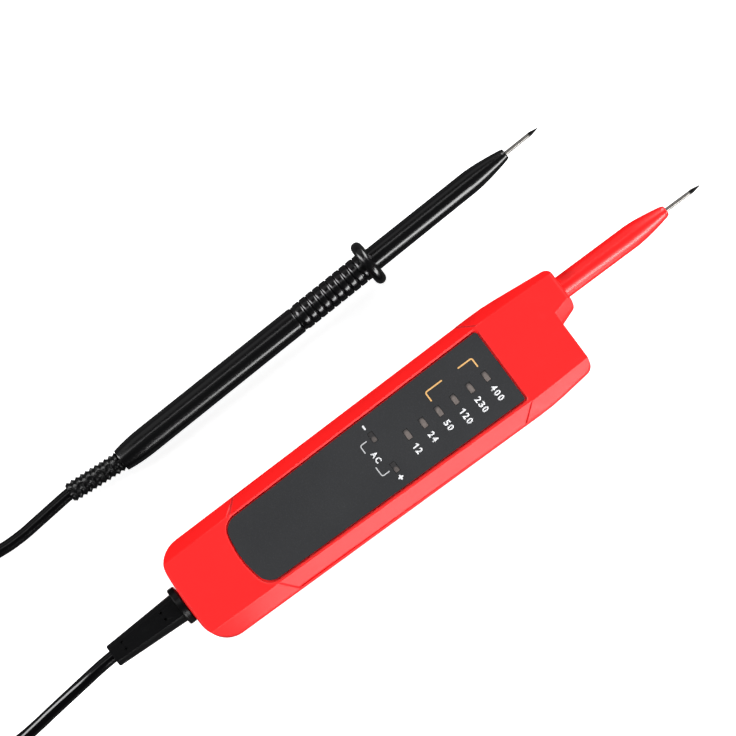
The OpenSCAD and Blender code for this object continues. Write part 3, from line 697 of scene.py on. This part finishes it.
@dataclass
class Picture:
    """Camera, lights and floor."""

    look_at: Point = (0.0190, 0.0289, 0.0175)
    width: float = 0.2676
    distance: float = 3.0
    sensor: float = 36.0
    clip: Place = (0.1, 20)
    turn: float = math.radians(36.65)
    tilt: float = math.radians(5)
    floor_size: float = 12.0
    floor_drop: float = 0.00005
    floor_bounce: float = 0.04
    floor_white: float = 0.8
    floor_lift: float = 0.85
    # How brightly the floor glows in mirrored rays away from the patch in front of the unit, and where that
    # glowing patch lies.
    mirror_far: float = 0.06
    mirror_x: Place = (-0.12, 0.07)
    mirror_y: Place = (-0.055, -0.02)
    room: float = 0.03
    lit_point: Point = (0.02, 0.02, 0.01)
    lights: tuple[Light, ...] = (
        Light("right_end", (1.0, 0.7, 0.5), 1.1, (0.4, 0.9), 9.2),
        Light("left_end", (-1.0, 0.7, 0.5), 1.1, (0.4, 0.9), 9.2),
        Light("key_strip", (0.42, -0.88, 0.47), 1.0, (1.06, 0.4), 11.8),
        Light("top_strip", (-0.25, 0.39, 0.92), 1.0, (1.2, 0.12), 2.0),
        Light("far_fill", (0.0, 0.9, 0.4), 1.1, (1.4, 0.6), 0.3))
    card_at: Point = (0.025, -0.105, 0.002)
    card_size: Place = (0.19, 0.13)
    card_radiance: float = 2.7
    flag_x: Place = (-0.088, 0.135)
    flag_y: float = 0.026
    flag_height: float = 0.0234

    def camera(self) -> None:
        """Place the camera above the unit, a little to the side away from the probe."""
        back = Vector((0, -math.sin(self.tilt), math.cos(self.tilt)))
        along = Vector((1, 0, 0))
        across = back.cross(along)
        right = math.cos(self.turn) * along - math.sin(self.turn) * across
        up = math.sin(self.turn) * along + math.cos(self.turn) * across
        deselect()
        bpy.ops.object.camera_add(location=Vector(self.look_at) + back * self.distance)
        cam = bpy.context.object
        cam.name = "camera"
        cam.rotation_euler = Matrix((right, up, back)).transposed().to_euler()
        cam.data.sensor_width = self.sensor
        cam.data.lens = self.sensor * self.distance / self.width
        cam.data.clip_start, cam.data.clip_end = self.clip
        bpy.context.scene.camera = cam

    def area(self, name: str, at: Sequence[float], size: Place, radiance: float) -> bpy.types.Object:
        """Add a rectangular light that the camera doesn't see.

        Args:
            name: The light's name.
            at: Its place.
            size: Its length and its height, in metres.
            radiance: How bright its face is, where 1 is white paper.

        Returns:
            The light, which looks down.
        """
        deselect()
        bpy.ops.object.light_add(type="AREA", location=at)
        light = bpy.context.object
        light.name = name
        light.data.shape, light.data.size, light.data.size_y = "RECTANGLE", *size
        light.data.energy = radiance * size[0] * size[1] * math.pi
        light.visible_camera = False
        return light

    def lamp(self, light: Light) -> None:
        """Add a light and turn its face to the object.

        Args:
            light: What it is and where it stands.
        """
        back = Vector(light.towards).normalized()
        place = Vector(self.lit_point) + back * light.distance
        lamp = self.area(light.name, place, light.size, light.radiance)
        across = Vector((0, 0, 1)).cross(back).normalized()
        if abs(back.y) > abs(back.x):
            across = (Vector((1, 0, 0)) - back * back.x).normalized()
        lamp.rotation_euler = Matrix((across, back.cross(across), back)).transposed().to_euler()

    def card(self) -> None:
        """Lay a bright card on the floor in front of the unit, for its near flank to mirror."""
        card = self.area("front_card", self.card_at, self.card_size, self.card_radiance)
        card.rotation_euler = (math.pi, 0, 0)

    def flag(self) -> None:
        """Stand a dark flag between the unit and the probe, so that no red light falls on the probe."""
        deselect()
        place = (sum(self.flag_x) / 2, self.flag_y, self.flag_height / 2)
        bpy.ops.mesh.primitive_plane_add(size=1, location=place)
        flag = bpy.context.object
        flag.name = "flag"
        flag.scale = (self.flag_x[1] - self.flag_x[0], self.flag_height, 1)
        flag.rotation_euler = (math.pi / 2, 0, 0)
        apply_place(flag)
        flag.visible_camera = flag.visible_shadow = flag.visible_transmission = False
        s = Shader("flag_cloth")
        cloth = s.blend(s.noise(900, detail=2), srgb(12, 12, 12), srgb(20, 20, 20))
        flag.data.materials.append(s.done(Base_Color=cloth, Roughness=0.95, Specular_IOR_Level=0.0))

    def floor(self) -> None:
        """Lay a floor that is white paper to the camera and a darker one to the object, except a patch in
        front of the unit that glows white in mirrored rays for its near flank to reflect.
        """
        deselect()
        bpy.ops.mesh.primitive_plane_add(size=self.floor_size, location=(0, 0, -self.floor_drop))
        ground = bpy.context.object
        ground.name = "floor"
        s = Shader("floor_paper")
        seen = s.node("ShaderNodeLightPath", {}, {}, "Is Camera Ray")
        mirrored = (s.node("ShaderNodeLightPath", {}, {}, "Is Glossy Ray")
                    + s.node("ShaderNodeLightPath", {}, {}, "Is Transmission Ray")).clamped()
        # A glowing patch of floor in front of the unit, seen only in mirrored rays, stands in for a
        # reflector; elsewhere mirrored rays see a faint glow.
        near = (1 - s.axis("Y").ramp(*self.mirror_y)) * s.axis("X").ramp(*self.mirror_x)
        shown = (seen + mirrored * (near * (1 - self.mirror_far) + self.mirror_far)).clamped()
        ground.data.materials.append(s.done(
            Base_Color=s.blend(seen, (self.floor_bounce,) * 3, (self.floor_white,) * 3), Roughness=0.9,
            Specular_IOR_Level=0.1, Emission_Color=s.blend(shown, (0.0, 0.0, 0.0), (1.0, 1.0, 1.0)),
            Emission_Strength=self.floor_lift))

    def world(self) -> None:
        """Light the room dimly and show the camera plain white."""
        s = Shader("room", world=True)
        bpy.context.scene.world = s.owner
        seen = s.node("ShaderNodeLightPath", {}, {}, "Is Camera Ray")
        strength = seen * (1 - self.room) + self.room
        light = s.node("ShaderNodeBackground", {}, {"Color": (1.0, 1.0, 1.0), "Strength": strength})
        s.node("ShaderNodeOutputWorld", {}, {"Surface": light})

    def build(self) -> None:
        """Set up the whole picture."""
        bpy.context.scene.view_settings.view_transform = "Standard"
        self.camera()
        self.world()
        self.floor()
        for light in self.lights:
            self.lamp(light)
        self.card()
        self.flag()


# The lead.


@dataclass
class Lead:
    """The lead from the unit's boot, through its tied coil, to the black probe.

    Its lengths are in millimetres and its angles in degrees. The numbers of turns, the climb to the
    upper layer and how early that climb begins are in turns.
    """

    radius: float = 2.35
    coil_at: Place = (-187.0, 46.0)
    outer: float = 33.0
    inner: float = 18.3
    low: float = 2.86
    high: float = 7.62
    start_angle: float = 225.0
    end_angle: float = 62.0
    turns: int = 5
    low_turns: float = 2.75
    climb: float = 0.45
    early: float = 0.1
    steps: int = 16
    smoothness: int = 5
    strap_edge: Edge = Edge(0.00018)
    unit_side: tuple[Point, ...] = (
        (-116.5, 0, 17.5), (-117.9, 0, 17.5), (-124, -0.35, 17.3), (-131, -1, 16.2), (-139, -1.65, 13.6),
        (-147, -2.25, 10.3), (-155, -2.9, 6.9), (-163, -3.3, 4.3), (-172, -3, 2.9), (-181, -0.7, 2.6),
        (-189.5, 3.5, 2.7), (-197.3, 9.7, 2.82), (-204, 16, 2.86))
    probe_side: tuple[Point, ...] = (
        (-163.5, 70.7, 6.6), (-154.6, 65.4, 5.1), (-146.2, 61.4, 3.4), (-137.5, 58.6, 2.6),
        (-128.5, 57, 2.4), (-119.3, 56.7, 2.4), (-111, 57.3, 2.9), (-103, 57.95, 3.6),
        (-96.2, 58.44, 4.1), (-95, 58.4, 4.15))

    def coil(self) -> list[Point]:
        """Wind the coil: inwards on the floor, up, and outwards on top.

        Returns:
            The coil's points.
        """
        total = self.turns + (self.start_angle - self.end_angle) / 360
        count = round(total * self.steps)
        points = []
        for i in range(count + 1):
            t = total * i / count
            if t < self.low_turns:
                r = self.outer + (self.inner - self.outer) * t / self.low_turns
            elif t < self.low_turns + self.climb:
                r = self.inner
            else:
                left = (t - self.low_turns - self.climb) / (total - self.low_turns - self.climb)
                r = self.inner + (self.outer - self.inner) * left
            up = min(1, max(0, (t - self.low_turns + self.early) / self.climb))
            a = math.radians(self.start_angle - 360 * t)
            points.append((self.coil_at[0] + r * math.cos(a), self.coil_at[1] + r * math.sin(a),
                           self.low + (self.high - self.low) * up * up * (3 - 2 * up)))
        return points

    def build(self) -> None:
        """Lay the lead along its route."""
        points = [*self.unit_side, *self.coil(), *self.probe_side]
        curve = bpy.data.curves.new("lead", "CURVE")
        curve.dimensions, curve.resolution_u = "3D", self.smoothness
        curve.bevel_depth, curve.bevel_resolution = self.radius * MM, self.smoothness
        curve.use_fill_caps = True
        spline = curve.splines.new("BEZIER")
        spline.bezier_points.add(len(points) - 1)
        for knot, point in zip(spline.bezier_points, points):
            knot.co = Vector(point) * MM
            knot.handle_left_type = knot.handle_right_type = "AUTO"
        lead = bpy.data.objects.new("lead", curve)
        bpy.context.scene.collection.objects.link(lead)
        lead.data.materials.append(BLACK_LEAD.material())
        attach(lead, BODY)
        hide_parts("lead_unit_side", "lead_coil", "lead_probe_side")
        tie = dress("coil_tie", "strap", STRAP.material(), self.strap_edge)
        2 * self.radius * MM


# The unit.


@dataclass
class Housing:
    """The red shells and their screws."""

    edge: Edge = Edge(0.00035)
    screw_edge: Edge = Edge(0.0001, 50)

    def build(self) -> None:
        """Dress the housing."""
        red = RED.material()
        for node in ("front_shell", "rear_shell"):
            dress(node, node + "_moulding", red, self.edge)
        dress("housing_screws", "rear_screws", SCREW.material(), self.screw_edge)


@dataclass
class Finger:
    """The red finger and the needle that comes out of it."""

    edge: Edge = Edge(0.0002)
    blackened: Place = (0.1504, 0.1514)

    def build(self) -> None:
        """Dress the finger and its needle."""
        dress("probe_finger", "finger_moulding", RED_FINGER.material(), self.edge)
        steel = Needle("unit_needle_steel", *self.blackened).material()
        dress("main_needle", "unit_needle", steel)


@dataclass(frozen=True)
class Brackets:
    """Printed lines round one rounded corner each, given by one end, the corner and the other end."""

    name: str
    ink: Ink
    lines: tuple[tuple[Place, Place, Place], ...]
    radius: float
    width: float


@dataclass
class FacePanel:
    """The dark panel with its lamps and print, in millimetres but for its edges."""

    top: float = 25.8
    ink: float = 0.03
    crossing: float = 0.006
    lamp_x: float = 101.05
    pitch: float = 7.04
    label_start: float = -4.1
    digit: Place = (1.62, 2.6)
    digit_pitch: float = 2.2
    bold: float = 0.034
    letter_steps: int = 5
    letter_weld: float = 0.0001
    one_stem: float = 1.05
    one_stem_width: float = 0.56
    one_flag: Place = (0.2, 0.75)
    one_flag_width: float = 0.42
    one_in: float = 0.25
    word: tuple[tuple[str, float, float], ...] = (("A", 2.55, 2.15), ("C", 0.05, 1.9))
    word_at: float = 87.05
    word_height: float = 2.3
    sign_width: float = 0.7
    minus: tuple[Place, Place] = ((89.85, 10.95), (89.85, 12.2))
    plus: tuple[Place, ...] = ((89.95, -11.5), (89.95, -10.1), (89.25, -10.8), (90.65, -10.8))
    brackets: tuple[Brackets, ...] = (
        Brackets("print_grey", GREY_INK, (((87.6, 7.05), (84.75, 7.05), (84.75, 3.9)),
                                          ((87.8, -6.6), (84.75, -6.6), (84.75, -2.7))), 0.8, 0.42),
        Brackets("print_orange", ORANGE_INK, (((122.6, 8.55), (115.3, 8.55), (115.3, 4.9)),
                                              ((130.2, 8.55), (136.2, 8.55), (136.2, 4.9))), 0.7, 0.55))
    body_middle: float = 85.0
    edge: Edge = Edge(0.00012)
    lamp_edge: Edge = Edge(0.00012, 50)
    upright: float = 0.1
    mitre: float = 0.5
    blunt: float = 0.25
    plate_in: float = 0.6
    plate_in_low: float = 0.35
    rim_split: float = 25.3
    rim_high: float = 25.28
    rim_low: float = 25.02
    rim_out: float = 0.14
    rim_in: float = 0.02
    rim_thick: float = 0.2

    def at(self, u: float, v: float) -> Vector:
        """Turn millimetres from the cord end and from the middle into a place on the panel's face."""
        return Vector((u - self.body_middle, v, self.top)) * MM

    def letter(self, text: str, u: float, start: float, width: float, height: float) -> Piece:
        """Print one letter of a word that reads towards -Y.

        Args:
            text: The letter.
            u: The middle of its height.
            start: Where its first side lies, as a v.
            width, height: Its size in millimetres.

        Returns:
            The printed letter.
        """
        deselect()
        bpy.ops.object.text_add()
        obj = bpy.context.object
        obj.data.body, obj.data.resolution_u, obj.data.offset = text, self.letter_steps, self.bold
        only(obj)
        bpy.ops.object.convert(target="MESH")
        obj = bpy.context.object
        xs = [p.co.x for p in obj.data.vertices]
        ys = [p.co.y for p in obj.data.vertices]
        mid = Vector(((max(xs) + min(xs)) / 2, (max(ys) + min(ys)) / 2, 0))
        fit = (width * MM / (max(xs) - min(xs)), height * MM / (max(ys) - min(ys)))
        edit_all(obj)
        bpy.ops.mesh.remove_doubles(threshold=self.letter_weld)
        bpy.ops.transform.translate(value=-mid)
        bpy.ops.transform.resize(value=(fit[0], fit[1], 1), center_override=(0, 0, 0))
        thicken(obj, self.ink * MM)
        obj.rotation_euler = (0, 0, -math.pi / 2)
        obj.location = self.at(u, start - width / 2)
        apply_place(obj)
        return obj

    def number(self, text: str, u: float) -> list[Piece]:
        """Print a number, digit by digit.

        Args:
            text: Its digits.
            u: The middle of their height.

        Returns:
            The printed digits.
        """
        places = [(c, self.label_start - k * self.digit_pitch) for k, c in enumerate(text)]
        return [self.one(u, start) if c == "1" else self.letter(c, u, start, *self.digit)
                for c, start in places]

    def one(self, u: float, start: float) -> Piece:
        """Print a plain 1 with a short flag.

        Args:
            u: The middle of its height.
            start: Where its flag begins, as a v.

        Returns:
            The printed 1.
        """
        tip, foot, stem = u + self.digit[1] / 2, u - self.digit[1] / 2, start - self.one_stem
        line = self.stroke([(foot + self.one_in, stem), (tip - self.one_in, stem)], self.one_stem_width)
        high, low = self.one_flag
        slant = [(tip - high, stem), (tip - low, start - self.one_in)]
        return joined([line, self.stroke(slant, self.one_flag_width, self.crossing)], "one")

    def stroke(self, points: Sequence[Place], width: float, lift: float = 0.0) -> Piece:
        """Print a line through points, with round ends.

        Args:
            points: The points as (u, v), in millimetres.
            width: The line's width in millimetres.
            lift: How far it is raised, in millimetres, where it crosses another line.

        Returns:
            The printed line.
        """
        mesh = bpy.data.meshes.new("stroke")
        line = bmesh.new()
        ways = [Vector(q) - Vector(p) for p, q in zip(points, points[1:])]
        sides: list[tuple[bmesh.types.BMVert, bmesh.types.BMVert]] = []
        for k, point in enumerate(points):
            back, on = ways[max(k - 1, 0)].normalized(), ways[min(k, len(ways) - 1)].normalized()
            along = (back + on).normalized()
            half = Vector((-along.y, along.x)) * (width / 2 / max(self.mitre, along.dot(on)))
            for cap in {0: (-1.0, -0.5, 0.0), len(points) - 1: (0.0, 0.5, 1.0)}.get(k, (0.0,)):
                middle = Vector(point) + along * (cap * width / 2)
                reach = half * max(self.blunt, math.sqrt(1 - cap * cap))
                sides.append(tuple(line.verts.new(self.at(*place) + Vector((0, 0, lift * MM)))
                                   for place in (middle + reach, middle - reach)))
        for (a, b), (c, d) in zip(sides, sides[1:]):
            line.faces.new((a, b, d, c))
        line.to_mesh(mesh)
        line.free()
        obj = bpy.data.objects.new("stroke", mesh)
        bpy.context.scene.collection.objects.link(obj)
        thicken(obj, self.ink * MM)
        return obj

    def bracket(self, line: tuple[Place, Place, Place], kind: Brackets) -> Piece:
        """Print a line round one rounded corner.

        Args:
            line: Its end, corner and other end as (u, v), in millimetres.
            kind: Its radius and width.

        Returns:
            The printed line.
        """
        end, corner, foot = (Vector(place) for place in line)
        arm, leg = (end - corner).normalized(), (foot - corner).normalized()
        centre = corner + (arm + leg) * kind.radius
        bend = [tuple(centre - leg * (kind.radius * math.cos(t)) - arm * (kind.radius * math.sin(t)))
                for t in (math.radians(a) for a in (0, 22.5, 45, 67.5, 90))]
        return self.stroke([line[0], *bend, line[2]], kind.width)

    def print_white(self) -> None:
        """Print the numbers and the signs of the polarity lamps."""
        parts = [digit for i, text in enumerate(LEVELS)
                 for digit in self.number(text, self.lamp_x + i * self.pitch)]
        parts += [self.letter(c, self.word_at, start, width, self.word_height)
                  for c, start, width in self.word]
        parts += [self.stroke(self.minus, self.sign_width), self.stroke(self.plus[:2], self.sign_width),
                  self.stroke(self.plus[2:], self.sign_width, self.crossing)]
        finish_piece(joined(parts, "print_white"), WHITE_INK.material())

    def print_brackets(self) -> None:
        """Print the grey bracket round the polarity lamps and the orange one over the high steps."""
        for kind in self.brackets:
            parts = [self.bracket(line, kind) for line in kind.lines]
            finish_piece(joined(parts, kind.name), kind.ink.material())

    def outline(self, obj: Piece) -> dict[int, Vector]:
        """Find the vertices of the plate's outer wall.

        Args:
            obj: The plate.

        Returns:
            Each vertex's number, with the way out of the wall there, long enough for a mitred corner.
        """
        inner = [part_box("led_" + name) for name in LAMPS]
        walls: dict[int, list[Vector]] = {}
        for face in obj.data.polygons:
            middle = face.center
            in_window = any(low[0] - MM < middle.x < high[0] + MM and low[1] - MM < middle.y < high[1] + MM
                            for low, high in inner)
            if abs(face.normal.z) < self.upright and not in_window:
                for i in face.vertices:
                    walls.setdefault(i, []).append(face.normal.copy())
        ways = {}
        for i, normals in walls.items():
            total = sum(normals, Vector()).normalized()
            ways[i] = total / max(self.mitre, min(total.dot(n) for n in normals))
        return ways

    def inset(self, way: Vector) -> float:
        """Return how far the plate's wall lies inwards, in millimetres, which is more towards -Y."""
        return self.plate_in + self.plate_in_low * max(0.0, -way.y)

    def rim(self) -> None:
        """Make the red slope that leads from the housing's lip down to the plate."""
        rim = copy_of("face_panel", "panel_rim")
        wall = set(self.outline(rim))
        only(rim)
        bpy.ops.object.mode_set(mode="EDIT")
        mesh = bmesh.from_edit_mesh(rim.data)
        spare = [f for f in mesh.faces
                 if not (abs(f.normal.z) < self.upright and all(v.index in wall for v in f.verts))]
        bmesh.ops.delete(mesh, geom=spare, context="FACES")
        bmesh.update_edit_mesh(rim.data)
        bpy.ops.object.mode_set(mode="OBJECT")
        for i, way in self.outline(rim).items():
            point = rim.data.vertices[i]
            if point.co.z > self.rim_split * MM:
                point.co += way * self.rim_out * MM
                point.co.z = self.rim_high * MM
            else:
                point.co -= way * (self.inset(way) + self.rim_in) * MM
                point.co.z = self.rim_low * MM
        thicken(rim, -self.rim_thick * MM)
        smooth(rim, self.edge)
        finish_piece(rim, RED.material())

    def lamps(self) -> None:
        """Dress the lamps with rounded tops."""
        for name in LAMPS:
            low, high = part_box("led_" + name)
            middle = ((low[0] + high[0]) / 2, (low[1] + high[1]) / 2)
            look = Lamp("lamp_resin_" + name, middle)
            # The polarity lamps get a smaller and weaker painted reflection.
            if name in ("minus", "plus"):
                look = replace(look, clear=0.55, half=(0.0009, 0.0012), reflector=-0.0012)
            dress("led_" + name, "lamp_" + name, look.material(), self.lamp_edge)

    def build(self) -> None:
        """Dress the panel."""
        panel = copy_of("face_panel", "panel_plate", flatten=False)
        for i, way in self.outline(panel).items():
            panel.data.vertices[i].co -= way * self.inset(way) * MM
        panel.data.update()
        bevelled(panel, self.edge)
        smooth(panel, self.edge)
        self.rim()
        finish_piece(panel, Panel().material(), ["face_panel"])
        self.lamps()
        self.print_white()
        self.print_brackets()


@dataclass
class UnitBoot:
    """The moulded strain relief of the unit."""

    edge: Edge = Edge(0.00015, 25, 18)

    def build(self) -> None:
        """Dress the boot."""
        dress("unit_boot", "unit_strain_relief", BLACK_SOFT.material(), self.edge,
              flatten=False)


# The black probe.


@dataclass(frozen=True)
class Axis:
    """An axis that pieces are turned about, from its origin in millimetres."""

    origin: Point
    yaw: float
    pitch: float

    def along(self) -> Vector:
        """Return the axis's direction."""
        return Vector((math.cos(self.pitch) * math.cos(self.yaw), math.cos(self.pitch) * math.sin(self.yaw),
                       math.sin(self.pitch)))

    def read(self, point: Vector) -> tuple[float, float, float]:
        """Turn a point into its place on the axis.

        Args:
            point: The point, in metres.

        Returns:
            Its distance along the axis and from it, in millimetres, and its angle round it from +Y.
        """
        way = self.along()
        side = Vector((-math.sin(self.yaw), math.cos(self.yaw), 0))
        gap = point / MM - Vector(self.origin)
        t = gap.dot(way)
        out = gap - way * t
        return t, out.length, math.atan2(out.dot(way.cross(side)), out.dot(side))

    def move(self, point: Vector, radius: float, shift: float = 0.0) -> Vector:
        """Put a point at another distance from the axis.

        Args:
            point: The point, in metres.
            radius: Its new distance from the axis, in millimetres.
            shift: How far it moves along the axis, in millimetres.

        Returns:
            The moved point.
        """
        way = self.along()
        gap = point / MM - Vector(self.origin)
        foot = way * gap.dot(way)
        return (Vector(self.origin) + foot + way * shift + (gap - foot).normalized() * radius) * MM


@dataclass
class BlackProbe:
    """The black probe: barrel, handle, ribbed boot and needle, in millimetres but for its edges."""

    axis: Axis = Axis((42.0, 60.4, 9.1155), math.radians(1.8), math.radians(2.063))
    barrel_edge: Edge = Edge(0.0002, 60, 24)
    handle_edge: Edge = Edge(0.00012, 60, 24)
    boot_edge: Edge = Edge(smooth=40)
    grip: Place = (-31.9, -3.2)
    rib_pitch: float = 3.09
    rib_phase: float = 0.03
    rib_r: float = 5.3
    rib_depth: float = 0.4
    rib_reach: float = 0.2
    shoulder: float = 0.2
    shoulder_share: Place = (0.6, 0.9)
    groove: float = 0.6
    narrow: float = 9.0
    handle_back: float = 115.6
    boot_bend: float = math.radians(6.2)
    boot_len: float = 22.4
    rings: int = 11
    ring_core: float = 3.05
    slot_half: float = math.radians(13)
    blackened: Place = (0.1164, 0.1174)

    def carve_grip(self, barrel: Piece) -> None:
        """Cut the grooves between the grip's ribs deeper and narrower.

        Args:
            barrel: The barrel's piece.
        """
        first, last = self.shoulder_share
        for point in barrel.data.vertices:
            t, r, _ = self.axis.read(point.co)
            if self.grip[0] < t < self.grip[1] and r > self.rib_r - self.rib_depth - self.rib_reach:
                share = min(1.0, max(0.0, (self.rib_r - r) / self.rib_depth))
                phase = ((t - self.grip[0]) / self.rib_pitch + self.rib_phase) % 1
                shoulder = self.shoulder if first < share < last else 0.0
                point.co = self.axis.move(point.co, self.rib_r - self.groove * share ** self.narrow,
                                          shoulder if phase > 0.5 else -shoulder)
        barrel.data.update()

    def slot_rings(self, boot: Piece) -> None:
        """Cut four slots into each of the boot's rings, staggered from ring to ring.

        Args:
            boot: The boot's piece.
        """
        end = Vector(self.axis.origin) - self.axis.along() * self.handle_back
        axis = Axis(tuple(end), self.axis.yaw - self.boot_bend, self.axis.pitch)
        pitch = self.boot_len / self.rings
        for point in boot.data.vertices:
            t, r, angle = axis.read(point.co)
            ring = math.floor(-t / pitch)
            if not 0 <= ring < self.rings or r < self.ring_core:
                continue
            turn = (angle - (math.radians(45) if ring % 2 else 0.0)) % (math.pi / 2)
            if min(turn, math.pi / 2 - turn) < self.slot_half:
                point.co = axis.move(point.co, self.ring_core)
        boot.data.update()

    def build(self) -> None:
        """Dress the probe."""
        black = BLACK.material()
        dress("probe_barrel", "probe_barrel_moulding", black, self.barrel_edge,
              shape=self.carve_grip)
        dress("probe_handle", "probe_handle_moulding", black, self.handle_edge)
        dress("probe_boot", "probe_strain_relief", BLACK_SOFT.material(), self.boot_edge,
              shape=self.slot_rings)
        steel = Needle("probe_needle_finish", *self.blackened).material()
        dress("probe_needle", "probe_needle_steel", steel)


@dataclass
class Inside:
    """What the housing and the probe hold: CAD pieces that keep their shape and get a finish."""

    finishes: dict[str, Moulded | Metal | Board] = field(default_factory=lambda: {
        "sealing_cord": SEAL, "needle_terminal": BRASS, "circuit_board": Board(), "board_screws": SCREW,
        "lamp_cells": CELL, "input_resistors": LACQUER, "thermistor": DIPPED, "control_chip": CHIP,
        "rectifier": CHIP, "capacitor": SLEEVE, "unit_core": WIRE, "probe_terminal": BRASS,
        "probe_core": WIRE})

    def build(self) -> None:
        """Give each inner piece its finish."""
        made: dict[str, Material] = {}
        for node, look in self.finishes.items():
            if look.name not in made:
                made[look.name] = look.material()
            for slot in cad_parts[node].material_slots:
                slot.material = made[look.name]
            LOG.info("finished %s", node)


def main() -> None:
    """Build the picture, then each sub-assembly in order."""
    logging.basicConfig(level=logging.INFO, format="%(name)s: %(message)s")
    Picture().build()
    Lead().build()
    for part in (Housing(), Finger(), FacePanel(), UnitBoot(), BlackProbe(), Inside()):
        part.build()
    deselect()


if __name__ == "__main__":
    main()
